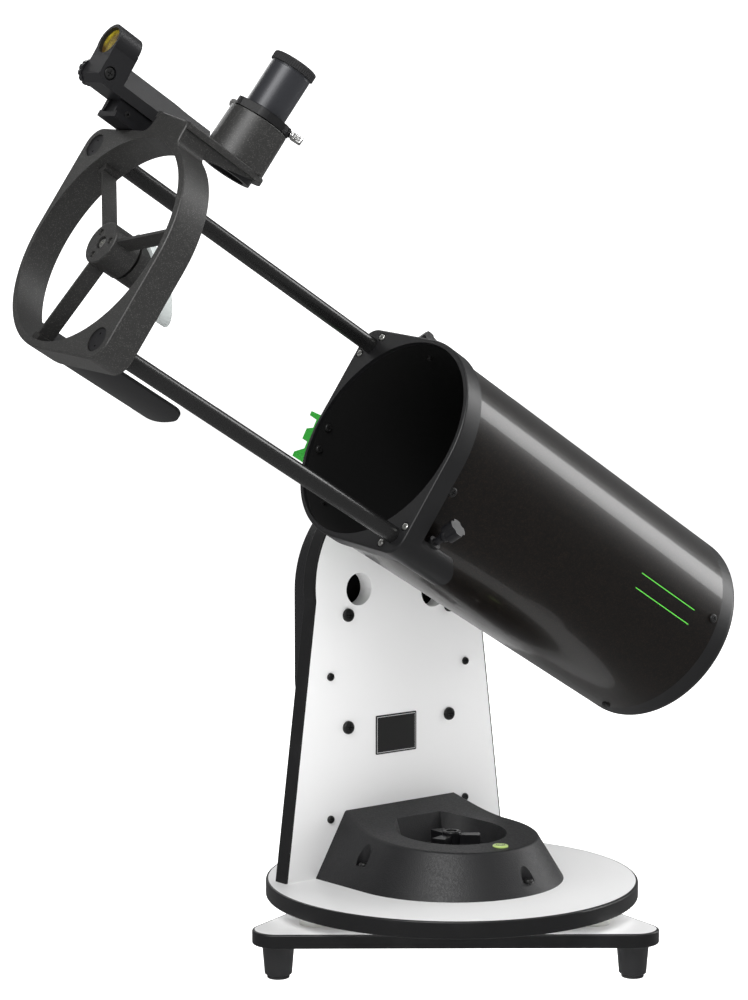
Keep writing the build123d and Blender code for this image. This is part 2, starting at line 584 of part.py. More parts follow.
# mirror cell: a round plate with three pads, held to the rear cell by pull and push screws
plate_low, plate_high = mirror_rim - mirror_t - 12, mirror_rim - mirror_t - 4
mirror_plate = cyl(mirror_r + 3, plate_low, plate_high) - cyl(26, plate_low - 1, plate_high + 1)
clip_turns = [collimation_angle + 60 + 120 * i for i in range(3)]
clips, pads = [], []
for turn in clip_turns:
    spin = Rot(0, 0, -turn)
    post = block((mirror_r + 0.5, mirror_r + 7), (-8, 8), (plate_low, mirror_rim + 1.0))
    lip = block((mirror_r - 5, mirror_r + 7), (-6, 6), (mirror_rim + 1.0, mirror_rim + 3.5))
    clips.append(spin * lip)
    mirror_plate += spin * post
    pads.append(spin * Pos(mirror_r * 0.7, 0, 0) * cyl(9, plate_high, mirror_rim - mirror_t))
for turn in push_turns + collimation_turns:
    mirror_plate -= Pos(*(radial(turn, 0) * Pos(0, 0, collimation_r)).position) * cyl(2.6, plate_low, plate_low + 5)
save("mirror_cell", tube_frame * mirror_plate)
save("mirror_pads", placed(pads, tube_frame))
save("mirror_clips", placed(clips, tube_frame))

sag = mirror_r ** 2 / (4 * focal_length)
primary = cyl(mirror_r, mirror_rim - mirror_t, mirror_rim)
primary -= Pos(0, 0, mirror_rim - sag + 2 * focal_length) * Sphere(2 * focal_length)
save("primary_mirror", tube_frame * primary)

collimation = []
for turn in collimation_turns:
    centre = Pos(*(radial(turn, 0) * Pos(0, 0, collimation_r)).position)
    collimation.append(centre * (cyl(2.5, back_in - 2, plate_low + 5) + cyl(5.2, back_in - 7.5, back_in - 1.5)))
for turn in push_turns:
    centre = Pos(*(radial(turn, 0) * Pos(0, 0, collimation_r)).position)
    collimation.append(centre * (cyl(2.5, back_in - 2, plate_low) + cyl(3.6, back_in - 4.5, back_in - 1.5)))
save("collimation_screws", placed(collimation, tube_frame))

# lock knobs: a fluted head, a ball-shaped collar and a screw that bears on the rod
lock = cyl(3.0, rod_r + 0.4, lock_head) + Pos(0, 0, 27.5) * Sphere(5.0)
lock += Pos(0, 0, lock_head - 5.5) * knob(8.2, 11.0, 4, 1.6)
for name, frame in zip(("rod_lock_upper", "rod_lock_lower"), lock_frames):
    save(name, tube_frame * frame * lock)

# ---------------------------------------------------------------- upper cage
cage_rear = cage_front - cage_depth
focuser_frame = radial(focuser_angle, focuser_along)
front_x = cage_front - focuser_along


def hump(grow):
    """Raised saddle on the cage's outline that carries the focuser's platform."""
    half = platform_half_w + grow
    top = platform_top + grow
    shape = make_face(Polyline((60, -half - 2), (top, -half + 4), (top, half - 4), (60, half + 2), close=True))
    return Rot(0, 0, -focuser_angle) * shape


cage_outline = eared(cage_r, ear_r) + hump(0)
creases = [v for v in cage_outline.vertices()
           if abs(v.center().length - cage_r) < 6.0
           and abs(degrees(atan2(v.Y, v.X)) + focuser_angle) < 24]
cage_outline = fillet(creases, 9.0)
shoulders = [v for v in cage_outline.vertices() if v.center().length > platform_top]
shoulders = [v for v in shoulders if abs(degrees(atan2(v.Y, v.X)) + focuser_angle) < 20]
cage_outline = fillet(shoulders, 6.0)
cage = ring_blank(cage_outline, cage_rear, cage_front, 1.6)
pocket = extrude(Pos(0, 0, cage_rear - 1) * (eared(cage_r - cage_wall, ear_r - cage_wall) + hump(-cage_wall)),
                 cage_depth + 1 - cage_face)
pocket -= cyl(cage_opening_r + cage_wall, 0, 800)
for place in rod_places:
    pocket -= place * cyl(rod_r + 3.4, 0, 800)
cage -= pocket
cage -= cyl(cage_opening_r, 0, 800)

platform = Circle(platform_half_w) + Pos(front_x / 2, 0) * Rectangle(front_x - 2, 2 * platform_half_w)
platform = extrude(Pos(0, 0, platform_top - platform_t) * platform, platform_t)
platform = fillet([e for e in platform.edges().group_by(Axis.Z)[-1] if e.center().X < front_x - 5], 1.6)
gusset = [(front_x - cage_depth + 1, platform_top - platform_t + 1), (front_x - cage_depth + 1, cage_r - 2),
          (-platform_half_w * 0.7, platform_top - platform_t + 1)]
for y in (-platform_half_w + 5, platform_half_w - 8):
    platform += prism([(x, z) for x, z in gusset], -y - 3, -y, Plane.XZ)
barrel = cone(barrel_r + 0.4, barrel_r - 0.4, platform_top - 1, barrel_top)
barrel = fillet(barrel.edges().group_by(Axis.Z)[-1], 0.8)
facet = block((-barrel_r * 0.72, 0), (0, barrel_r * 0.99), (platform_top - 1, barrel_top - 2))
barrel += fillet((Rot(0, 0, -12) * facet).edges().filter_by(Axis.Z), 3.0)
cage += focuser_frame * (platform + barrel)
cage -= focuser_frame * (cyl(barrel_bore_r, 60, 200))
cage -= cyl(cage_opening_r, 0, 800)
for place in rod_places:
    cage -= place * cyl(rod_r, cage_rear - 1, cage_front - 2.2)
    cage -= place * cyl(10.0, cage_front - 2.2, cage_front + 1)

cap = cyl(9.4, cage_front - 2.2, cage_front - 0.8) - Pos(5, 0, 0) * cyl(0.9, cage_front - 1.4, cage_front)
cap -= Pos(-5, 0, 0) * cyl(0.9, cage_front - 1.4, cage_front)
save("rod_caps", [tube_frame * p * cap for p in rod_places])
rod = cyl(rod_r, guide_low + 4, cage_front - 2.2)
save("truss_rods", [tube_frame * p * rod for p in rod_places])

# spider: a hub on three vanes, moulded with feet that sit against the ring's bore
hub_front = cage_front - hub_recess
vane_front = hub_front - 2.2
spider = cyl(hub_r, hub_front - hub_l, hub_front)
spider = fillet(spider.edges().group_by(Axis.Z)[-1], 1.0)
for i in range(3):
    spin = Rot(0, 0, rod_turn + 120 * i)
    vane = block((hub_r - 2, cage_opening_r + 2), (-vane_t / 2, vane_t / 2), (vane_front - vane_d, vane_front))
    vane += block((cage_opening_r - 5, cage_opening_r + 2), (-4.5, 4.5), (vane_front - vane_d, vane_front))
    spider += spin * vane
spider = spider & cyl(cage_opening_r, 0, 800)
hub_holes = [Rot(0, 0, 120 * i + 36) * Pos(11.2, 0, 0) for i in range(3)]
for place in hub_holes:
    spider -= place * cyl(1.7, 0, 800) + place * cyl(2.8, hub_front - 3, 800)
spider -= cyl(2.6, 0, 800) + cyl(5.2, hub_front - 4, 800)
save("spider", tube_frame * spider)

# diagonal: an elliptical mirror at 45 degrees on a stalk that is cut to the same slope
holder_top = hub_front - hub_l - holder_gap
look = Vector(cos(radians(focuser_angle)), -sin(radians(focuser_angle)), 0)
slope_normal = (look - Vector(0, 0, 1)).normalized()


def beyond(distance):
    """Everything behind a plane parallel to the diagonal's face."""
    plane = Plane(Vector(0, 0, focuser_along) - slope_normal * distance, z_dir=slope_normal)
    return extrude(plane * Rectangle(400, 400), -400)


shift = Pos(-look * diagonal_shift)   # the ellipse is set down its own slope, to catch the whole cone of light


diagonal = (shift * cyl(diagonal_minor_r, focuser_along - 60, focuser_along + 60) & beyond(0)) - beyond(diagonal_t)
holder = cyl(holder_r, focuser_along - 40, holder_top) & beyond(diagonal_t)
stalk = cyl(8.0, holder_top - 1, hub_front - hub_l)
holder = holder + stalk - cyl(2.5, holder_top - 12, 800)
for place in hub_holes:
    holder -= place * cyl(1.7, holder_top - 3, 800)
save("diagonal_holder", tube_frame * holder)
save("diagonal_mirror", tube_frame * diagonal)
tilt_screws = [Pos(0, 0, hub_front - 4) * screw(4.6, 3.0, 2.45, hub_l + holder_gap + 7)]
tilt_screws += [p * Pos(0, 0, hub_front - 3) * screw(2.6, 1.6, 1.65, hub_l + holder_gap - 1) for p in hub_holes]
save("diagonal_screws", placed(tilt_screws, tube_frame))

# light shield: a curved sheet opposite the focuser, its front edge let into the ring
shield = cyl(shield_r, cage_rear - shield_l, cage_rear + shield_tongue)
shield -= cyl(shield_r - shield_t, 0, 800)
half_chord = shield_r * sin(radians(shield_half_angle))
keep = RectangleRounded(2 * (shield_l + shield_tongue), 2 * half_chord, 15)
keep = extrude(Plane((0, 0, cage_rear + shield_tongue), x_dir=(0, 0, 1), z_dir=(-1, 0, 0)) * keep, 150)
shield = Rot(0, 0, -focuser_angle) * (shield & keep)
cage -= shield
save("cage_ring", tube_frame * cage)
save("light_shield", tube_frame * shield)

# ---------------------------------------------------------------- helical focuser and eyepiece
drawtube = cyl(barrel_bore_r - pivot_fit, platform_top - platform_t - 6, clamp_low - 0.1) - cyl(drawtube_bore_r, 0, 300)
save("focuser_drawtube", tube_frame * focuser_frame * drawtube)
clamp = Circle(clamp_r)
for turn in (30, 90, 210, 330):
    clamp -= Rot(0, 0, turn) * Pos(clamp_r + 18.4, 0) * Rectangle(40, 40)
for turn in thumb_angles:
    clamp += Rot(0, 0, turn) * Pos(clamp_r - 3, 0) * RectangleRounded(7, 13, 1.5)
clamp = extrude(Pos(0, 0, clamp_low) * clamp, clamp_top - clamp_low)
clamp -= cyl(drawtube_bore_r, 0, 300)
thumb_z = (clamp_low + clamp_top) / 2
thumb_frames = []
for turn in thumb_angles:
    out = Vector(cos(radians(turn)), sin(radians(turn)), 0)
    frame = Plane(Vector(0, 0, thumb_z), x_dir=(0, 0, 1), z_dir=out).location
    thumb_frames.append(frame)
    clamp -= frame * cyl(2.0 + pivot_fit, 0, 60)
save("eyepiece_clamp", tube_frame * focuser_frame * clamp)
thumb = cyl(2.0, drawtube_bore_r + 0.1, 29) + cyl(2.8, 25.4, 27.4) + cyl(3.6, 27.4, 36.5)
for frame, name in zip(thumb_frames, ("thumbscrew_near", "thumbscrew_far")):
    save(name, tube_frame * focuser_frame * frame * thumb)

eyepiece = cyl(nose_r, nose_low, clamp_top + 1) + cyl(eyepiece_r, clamp_top + 0.4, eyepiece_top)
eyepiece -= cyl(nose_r - 1.2, nose_low - 1, clamp_top - 8)
eyepiece -= cyl(nose_r - 3.0, clamp_top - 9, clamp_top + 20)
save("eyepiece", tube_frame * focuser_frame * eyepiece)
cup = cyl(eyecup_r, eyepiece_top, eyecup_top)
cup = fillet(cup.edges().group_by(Axis.Z)[-1], 1.4) - cone(9.5, 13.5, eyepiece_top + 2.5, eyecup_top + 0.1)
cup -= cyl(9.5, eyepiece_top - 1, eyepiece_top + 3)
save("eyecup", tube_frame * focuser_frame * cup)
eye_lens = cyl(9.4, eyepiece_top, eyepiece_top + 2.0)
save("eye_lens", tube_frame * focuser_frame * fillet(eye_lens.edges().group_by(Axis.Z)[-1], 1.2))

# ---------------------------------------------------------------- red-dot finder
finder_frame = radial(flat_angle, cage_front) * Pos(0, finder_y, 0)
shoe_low, shoe_top = cage_r, 110.0
w = finder_half_w
shoe = prism([(-w, shoe_low), (w, shoe_low), (w, shoe_low + 5), (w - 3, shoe_low + 5), (w - 3, shoe_top),
              (-w + 2, shoe_top), (-w + 2, shoe_low + 5), (-w, shoe_low + 5)], -26, 19, Plane.YZ)
stalk_y = 8.0
tail = [(-stalk_y, shoe_low + 4), (stalk_y, shoe_low + 4), (stalk_y - 2.5, shoe_top + 0.2), (-stalk_y + 2.5, shoe_top + 0.2)]
shoe -= prism(tail, -40, 40, Plane.YZ)
shoe_screw_x = 8.0
shoe_frame = Plane((shoe_screw_x, w - 3, shoe_low + 8), x_dir=(1, 0, 0), z_dir=(0, 1, 0)).location
shoe -= shoe_frame * cyl(2.5, -10, 1)
save("finder_shoe", tube_frame * finder_frame * shoe)
set_screw = cyl(2.45, -2.3, 0.8) - extrude(Pos(0, 0, -0.8) * RegularPolygon(1.3, 6), 4)

side = [(42, shoe_top + 0.2), (47.5, 115.5), (hoop_front, 131.5), (hoop_front, hoop_z), (hoop_rear, hoop_z)]
tail_top = [(hoop_rear - 8, 141.0), (0.5, 137.6), (-33.0, 134.9), (-66.0, 134.4)]
under = [(-66.5, 130.5), (-60.0, 126.0), (-30.0, 116.5), (-14.0, shoe_top + 0.2)]
outline = Polyline(*side) + Spline((hoop_rear, hoop_z), tail_top[0], tail_top[1], tail_top[2], tail_top[3],
                                   tangents=[(-0.25, -1), (-1, 0)])
outline += Polyline(tail_top[3], *under, side[0])
finder = extrude(Plane.XZ * make_face(outline.edges()), w, both=True)
hoop_frame = Plane((0, 0, hoop_z), x_dir=(0, 1, 0), z_dir=(1, 0, 0)).location
finder = finder & (hoop_frame * cyl(200, -70, 60))
taper = [(-70, -8.5), (-20, -w), (60, -w), (60, w), (-20, w), (-70, 8.5)]
finder = finder & prism(taper, 100, 200)
ridge = [(-w, 100), (w, 100), (w, 119), (4.0, 137), (4.0, 150), (-4.0, 150), (-4.0, 137), (-w, 119)]
finder = finder & (prism(ridge, -80, hoop_rear, Plane.YZ) + block((hoop_rear - 1, 80), (-w, w), (100, 200)))
finder += hoop_frame * cyl(hoop_r, hoop_rear, hoop_front)
finder -= hoop_frame * cyl(hoop_bore_r, -80, 80)
finder += prism([(-stalk_y + 0.1, shoe_low + 4.1), (stalk_y - 0.1, shoe_low + 4.1),
                 (stalk_y - 2.6, 110.0), (-stalk_y + 2.6, 110.0)], -24, 17, Plane.YZ)
knob_x, knob_z = 39.0, 120.5
near_frame = Plane((knob_x, w, knob_z), x_dir=(1, 0, 0), z_dir=(0, 1, 0)).location
far_frame = Plane((knob_x, -w, knob_z), x_dir=(1, 0, 0), z_dir=(0, -1, 0)).location
finder -= near_frame * cyl(5.4, -2.2, 1) + near_frame * cyl(2.1, -10, 1)
finder -= far_frame * cyl(3.0 + pivot_fit, -8, 1)
save("finder_body", tube_frame * finder_frame * finder)
lid_screw = near_frame * Pos(0, 0, -2.2) * screw(4.6, 1.8, 2.0, 6)
save("finder_screws", placed([shoe_frame * set_screw, lid_screw], tube_frame * finder_frame))
switch = cyl(3.0, -7.5, 1) + Pos(0, 0, 0.4) * knob(10.4, 5.0, 12, 0.7)
save("finder_switch", tube_frame * finder_frame * far_frame * switch)
window = hoop_frame * cyl(hoop_bore_r, hoop_front - 5.0, hoop_front - 3.2)
save("finder_lens", tube_frame * finder_frame * window)
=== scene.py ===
import math

import bmesh
import bpy
import numpy as np
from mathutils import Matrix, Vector
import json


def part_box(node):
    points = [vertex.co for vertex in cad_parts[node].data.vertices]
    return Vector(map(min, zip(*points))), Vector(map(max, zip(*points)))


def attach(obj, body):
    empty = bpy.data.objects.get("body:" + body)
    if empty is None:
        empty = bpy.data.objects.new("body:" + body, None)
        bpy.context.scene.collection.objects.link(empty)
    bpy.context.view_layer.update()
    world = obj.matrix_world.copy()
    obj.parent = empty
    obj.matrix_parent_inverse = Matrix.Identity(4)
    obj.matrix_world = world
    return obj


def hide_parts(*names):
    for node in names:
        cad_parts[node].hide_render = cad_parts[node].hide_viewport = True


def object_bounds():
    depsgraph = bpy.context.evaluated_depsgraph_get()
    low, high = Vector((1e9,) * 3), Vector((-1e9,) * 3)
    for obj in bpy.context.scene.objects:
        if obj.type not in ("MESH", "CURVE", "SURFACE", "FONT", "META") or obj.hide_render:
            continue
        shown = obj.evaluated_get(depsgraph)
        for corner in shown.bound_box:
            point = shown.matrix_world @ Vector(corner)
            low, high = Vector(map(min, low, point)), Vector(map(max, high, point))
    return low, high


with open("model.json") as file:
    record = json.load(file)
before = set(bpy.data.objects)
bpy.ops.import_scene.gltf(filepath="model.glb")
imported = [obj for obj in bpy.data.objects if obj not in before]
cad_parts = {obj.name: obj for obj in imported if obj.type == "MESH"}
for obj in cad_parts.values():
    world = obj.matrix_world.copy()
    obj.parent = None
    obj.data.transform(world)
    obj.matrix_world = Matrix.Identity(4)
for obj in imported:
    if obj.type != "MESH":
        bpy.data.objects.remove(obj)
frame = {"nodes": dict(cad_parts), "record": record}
cad_low, cad_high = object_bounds()
joints = {joint["name"]: joint for joint in frame["record"]["behaviour"]["joints"]}


# ---- Boards ------------------------------------------------------------------------------
# Chipboard cut to shape and faced with white melamine: the ground board, the round board
# that turns on it, and the arm. The face is smooth with the faint ripple of the press plate.

class Shade:
    """One number that changes over a surface. Python's operators on it add Math nodes."""

    def __init__(self, paint, socket):
        self.paint = paint
        self.socket = socket

    def math(self, operation, *others, clamp=False):
        node = self.paint.add("ShaderNodeMath", {"operation": operation, "use_clamp": clamp}, self, *others)
        return Shade(self.paint, node.outputs[0])

    def __add__(self, other):
        return self.math("ADD", other)

    def __sub__(self, other):
        return self.math("SUBTRACT", other)

    def __mul__(self, other):
        return self.math("MULTIPLY", other)

    def __truediv__(self, other):
        return self.math("DIVIDE", other)

    def __rsub__(self, other):
        return self * -1 + other

    def __gt__(self, other):
        return self.math("GREATER_THAN", other)

    def __lt__(self, other):
        return self.math("LESS_THAN", other)

    __radd__ = __add__
    __rmul__ = __mul__


class Paint:
    """A finish: one Principled surface, and the pattern nodes that feed it."""

    def __init__(self, name, colour, rough, metal=0.0, **fixed):
        self.material = bpy.data.materials.new(name)
        self.material.use_nodes = True
        self.nodes = self.material.node_tree.nodes
        self.surface = self.nodes["Principled BSDF"]
        self.colour = (*colour, 1.0)
        self.feed("Base Color", self.colour)
        self.feed("Roughness", rough)
        self.feed("Metallic", metal)
        for socket, value in fixed.items():
            self.feed(socket.replace("_", " "), value)
        self.here = self.nodes.new("ShaderNodeTexCoord").outputs["Object"]

    def link(self, socket, value):
        value = value.socket if isinstance(value, Shade) else value
        if isinstance(value, bpy.types.NodeSocket):
            self.material.node_tree.links.new(value, socket)
        else:
            socket.default_value = value

    def feed(self, socket, value):
        self.link(self.surface.inputs[socket], value)

    def add(self, kind, settings, *values, **named):
        """A node of any type: its settings first, then what its sockets hold or are linked to."""
        node = self.nodes.new(kind)
        for name, value in settings.items():
            setattr(node, name, value)
        for index, value in enumerate(values):
            self.link(node.inputs[index], value)
        for name, value in named.items():
            self.link(node.inputs[name.replace("_", " ")], value)
        return node

    def noise(self, size, detail=2.0, where=None):
        """Soft lumps of a size in metres, from 0 to 1 with a middle of 0.5."""
        where = self.here if where is None else where
        node = self.add("ShaderNodeTexNoise", {}, Vector=where, Scale=1.0 / size, Detail=detail)
        return Shade(self, node.outputs[0])

    def cells(self, size, where=None):
        """Random value of each cell of a size in metres, and the distance to the cell's middle."""
        where = self.here if where is None else where
        node = self.add("ShaderNodeTexVoronoi", {}, Vector=where, Scale=1.0 / size)
        colour = self.add("ShaderNodeSeparateColor", {}, node.outputs["Color"])
        return Shade(self, colour.outputs[0]), Shade(self, node.outputs["Distance"])

    def stretched(self, scale, turn=(0.0, 0.0, 0.0)):
        """Object coordinates, turned back and then scaled, for a grain that runs one way."""
        node = self.add("ShaderNodeMapping", {"vector_type": "TEXTURE"}, Vector=self.here, Rotation=turn,
                        Scale=[1.0 / share for share in scale])
        return node.outputs[0]

    def tint(self, amount, to_colour, from_colour=None):
        """Base colour that goes from this finish's colour to another as amount goes from 0 to 1."""
        first = self.colour if from_colour is None else from_colour
        node = self.add("ShaderNodeMix", {"data_type": "RGBA"})
        self.link(node.inputs[0], amount)
        self.link(node.inputs[6], first)
        self.link(node.inputs[7], (*to_colour, 1.0))
        self.feed("Base Color", node.outputs[2])
        return node.outputs[2]

    def bumps(self, height, depth, strength=1.0):
        """Relief in the surface: height from 0 to 1 stands for a depth in metres."""
        node = self.add("ShaderNodeBump", {}, Strength=strength, Distance=depth, Height=height)
        self.feed("Normal", node.outputs[0])

    def put_on(self, *names):
        """Gives the finish to CAD nodes or to new pieces."""
        for name in names:
            piece = frame["nodes"].get(name) or bpy.data.objects[name]
            piece.data.materials.clear()
            piece.data.materials.append(self.material)


laminate = Paint("white_melamine", (0.87, 0.87, 0.87), 0.34, Specular_IOR_Level=0.45)
ripple = laminate.noise(0.0016, 3.0)
cloud = laminate.noise(0.09, 2.0)
laminate.feed("Roughness", 0.30 + ripple * 0.05 + cloud * 0.07)
laminate.tint(cloud * 0.5, (0.90, 0.90, 0.90))
laminate.bumps(ripple, 0.00006, 0.5)
laminate.put_on("ground_board", "round_board", "arm_board")


# ---- Edge mouldings ----------------------------------------------------------------------
# Soft black vinyl T-moulding pressed into a slot round each board. It is extruded, so its
# fine lines run level round the boards, and its face has a low even sheen.

vinyl = Paint("black_vinyl_edging", (0.006, 0.006, 0.0065), 0.36, Specular_IOR_Level=0.4)
lines = vinyl.noise(0.0011, 2.0, vinyl.stretched((0.12, 0.12, 1.0)))
scuff = vinyl.noise(0.022, 4.0)
vinyl.feed("Roughness", 0.30 + lines * 0.10 + scuff * 0.12)
vinyl.tint((scuff - 0.52) * 0.5, (0.03, 0.03, 0.031))
vinyl.bumps(lines, 0.00010, 0.45)
vinyl.put_on("ground_board_edging", "round_board_edging", "arm_board_edging")


# ---- Feet and foot pads ------------------------------------------------------------------
# Three moulded feet with a soft rubber pad in each, screwed up into the ground board.

foot_plastic = Paint("foot_plastic", (0.014, 0.014, 0.015), 0.42)
foot_grain = foot_plastic.noise(0.0007, 3.0)
foot_plastic.feed("Roughness", 0.36 + foot_grain * 0.14)
foot_plastic.bumps(foot_grain, 0.00006, 0.6)
foot_plastic.put_on("feet")

rubber = Paint("black_rubber", (0.016, 0.016, 0.017), 0.78, Specular_IOR_Level=0.3)
rubber_grain = rubber.noise(0.0009, 4.0)
dust = rubber.noise(0.006, 3.0)
rubber.tint((dust - 0.5) * 0.7, (0.07, 0.068, 0.064))
rubber.feed("Roughness", 0.70 + rubber_grain * 0.2)
rubber.bumps(rubber_grain, 0.00008, 0.7)
rubber.put_on("foot_pads", "mirror_pads")


# ---- Turning bearing ---------------------------------------------------------------------
# The round board turns on three white low-friction pads about a plated bolt in a nylon bush.

glide = Paint("glide_plastic", (0.78, 0.77, 0.73), 0.38, Subsurface_Weight=0.05)
glide_cloud = glide.noise(0.004, 2.0)
glide.feed("Roughness", 0.34 + glide_cloud * 0.12)
glide.bumps(glide_cloud, 0.00005, 0.5)
glide.put_on("glide_pads", "pivot_bush", "altitude_bush", "altitude_disc")

zinc = Paint("zinc_plated_steel", (0.62, 0.62, 0.60), 0.28, 1.0)
zinc_cloud = zinc.noise(0.0013, 3.0)
zinc.feed("Roughness", 0.20 + zinc_cloud * 0.18)
zinc.tint(zinc_cloud * 0.6, (0.50, 0.50, 0.47))
zinc.bumps(zinc_cloud, 0.00003, 0.5)
zinc.put_on("foot_screws", "pivot_bolt", "altitude_bolt", "ear_screws", "diagonal_screws")


# ---- Base housing ------------------------------------------------------------------------
# One large injection moulding with a spark-eroded, leather-like grain, screwed to the round
# board through wells in its wall. The outer arm housing is moulded with the same grain.

grained = Paint("grained_black_plastic", (0.008, 0.008, 0.009), 0.5, Specular_IOR_Level=0.4)
pebble_tone, pebble = grained.cells(0.00125)
fine = grained.noise(0.0005, 2.0)
grained.feed("Roughness", 0.40 + pebble_tone * 0.10 + fine * 0.10)
grained.tint(fine * 0.3, (0.020, 0.020, 0.021))
grained.bumps(pebble * 0.7 + fine * 0.3, 0.00022, 0.55)
grained.put_on("base_housing", "arm_housing")

black_steel = Paint("black_screw_steel", (0.022, 0.022, 0.022), 0.35, 0.5)
oil = black_steel.noise(0.0014, 3.0)
black_steel.feed("Roughness", 0.28 + oil * 0.2)
black_steel.put_on("housing_screws", "arm_screws", "arm_trim_screws", "tube_screws", "finder_screws",
                   "collimation_screws")


# ---- Bubble level ------------------------------------------------------------------------
# A round vial of yellow-green spirit set in the rim of the base housing, with a bubble
# under its clear top and a black ring printed round where the bubble rests.

level_low, level_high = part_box("bubble_level")
level_middle = (level_low + level_high) / 2
spirit = Paint("spirit_green", (0.55, 0.74, 0.22), 0.12, Coat_Weight=0.6, Coat_Roughness=0.04)
from_middle = spirit.add("ShaderNodeVectorMath", {"operation": "SUBTRACT"}, spirit.here, level_middle)
flat = spirit.add("ShaderNodeVectorMath", {"operation": "MULTIPLY"}, from_middle.outputs[0], (1.0, 1.0, 0.0))
distance = spirit.add("ShaderNodeVectorMath", {"operation": "LENGTH"}, flat.outputs[0])
ring_at = Shade(spirit, distance.outputs["Value"])
bubble_edge = (ring_at - 0.0021).math("ABSOLUTE") < 0.00022
printed_ring = (ring_at - 0.0036).math("ABSOLUTE") < 0.0003
inside_bubble = (ring_at < 0.0021) * 0.35
pale = spirit.tint(inside_bubble, (0.80, 0.90, 0.60))
spirit.tint((bubble_edge * 0.6 + printed_ring).math("MINIMUM", 1.0), (0.02, 0.03, 0.01), pale)
spirit.put_on("bubble_level")


# ---- Azimuth knob, lock knobs and other handles ------------------------------------------
# Moulded in black nylon with polished faces: fine flow marks and a few soft hand smudges.

handle = Paint("polished_black_nylon", (0.006, 0.006, 0.007), 0.3, Specular_IOR_Level=0.4)
smudge = handle.noise(0.009, 4.0)
flow = handle.noise(0.0015, 2.0)
handle.feed("Roughness", 0.24 + smudge * 0.16 + flow * 0.05)
handle.bumps(flow, 0.000008, 0.4)
handle.put_on("azimuth_knob", "altitude_knob", "saddle_knob", "rod_lock_upper", "rod_lock_lower",
              "rod_caps", "finder_shoe", "finder_switch")


# ---- Saddle ------------------------------------------------------------------------------
# Cast aluminium clamp for the dovetail bar, shot blasted and powder coated black.

powder = Paint("black_powder_coat", (0.010, 0.010, 0.011), 0.45, 0.0, Specular_IOR_Level=0.4)
orange_peel = powder.noise(0.0012, 2.0)
powder.feed("Roughness", 0.38 + orange_peel * 0.15)
powder.bumps(orange_peel, 0.00012, 0.5)
powder.put_on("saddle", "saddle_jaw", "mirror_cell", "mirror_clips")


# ---- Dovetail bar ------------------------------------------------------------------------
# Extruded aluminium bar, anodised bright green. The die leaves faint lines along it.

outward = Vector(joints["cage_slide"]["axis"])          # along the tube, to the sky
tube_middle = Vector(joints["altitude"]["pos_m"])       # where the altitude axis crosses the tube's
level_turn = math.atan2(outward.z, -outward.x)
green = Paint("green_anodised", (0.035, 0.50, 0.045), 0.34, 0.55, Specular_IOR_Level=0.6)
die_lines = green.noise(0.0009, 2.0, green.stretched((0.02, 1.0, 1.0), (0.0, level_turn, 0.0)))
green.feed("Roughness", 0.26 + die_lines * 0.16)
green.tint(die_lines * 0.4, (0.06, 0.62, 0.06))
green.bumps(die_lines, 0.00005, 0.5)
green.put_on("dovetail_bar")


# ---- Tube --------------------------------------------------------------------------------
# Rolled steel tube. Outside it has a deep brown-black paint with fine copper and gold flake
# under clear lacquer; inside it is flat black against stray light.

tube_paint = Paint("flake_lacquer", (0.0026, 0.0022, 0.0020), 0.30, 0.2,
                   Specular_IOR_Level=0.32, Coat_Roughness=0.05, Coat_IOR=1.5)
from_axis = tube_paint.add("ShaderNodeVectorMath", {"operation": "SUBTRACT"}, tube_paint.here, tube_middle)
around = tube_paint.add("ShaderNodeVectorMath", {"operation": "CROSS_PRODUCT"}, from_axis.outputs[0], outward)
radius = Shade(tube_paint, tube_paint.add("ShaderNodeVectorMath", {"operation": "LENGTH"},
                                          around.outputs[0]).outputs["Value"])
tube_radius = (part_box("main_tube")[1].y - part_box("main_tube")[0].y) / 2
outside = radius > tube_radius - 0.0006
flake_tone = tube_paint.cells(0.00038)[0]
second_tone = tube_paint.cells(0.0007)[0]
flake = (flake_tone > 0.80) * outside
warm = (second_tone > 0.86) * outside
base = tube_paint.tint(flake * 0.5, (0.016, 0.010, 0.007))
base = tube_paint.tint(warm * 0.4, (0.024, 0.015, 0.009), base)
tube_paint.tint(1 - outside, (0.004, 0.004, 0.004), base)
tube_paint.feed("Metallic", outside * 0.25)
tube_paint.feed("Roughness", 0.75 - outside * 0.47 + flake * 0.05)
tube_paint.feed("Coat Weight", outside * 0.3)
tube_paint.bumps(tube_paint.noise(0.006, 1.0), 0.00002, 0.25)
tube_paint.put_on("main_tube")


# ---- Pinstripes --------------------------------------------------------------------------
# Two thin bright green lines of vinyl on the lower near side of the tube. They run along it
# and stand a tenth of a millimetre proud.

upward = Vector(joints["altitude"]["axis"]).cross(outward)         # across the tube, away from the ground
sideways = Vector(joints["altitude"]["axis"])                      # across the tube, to the arm


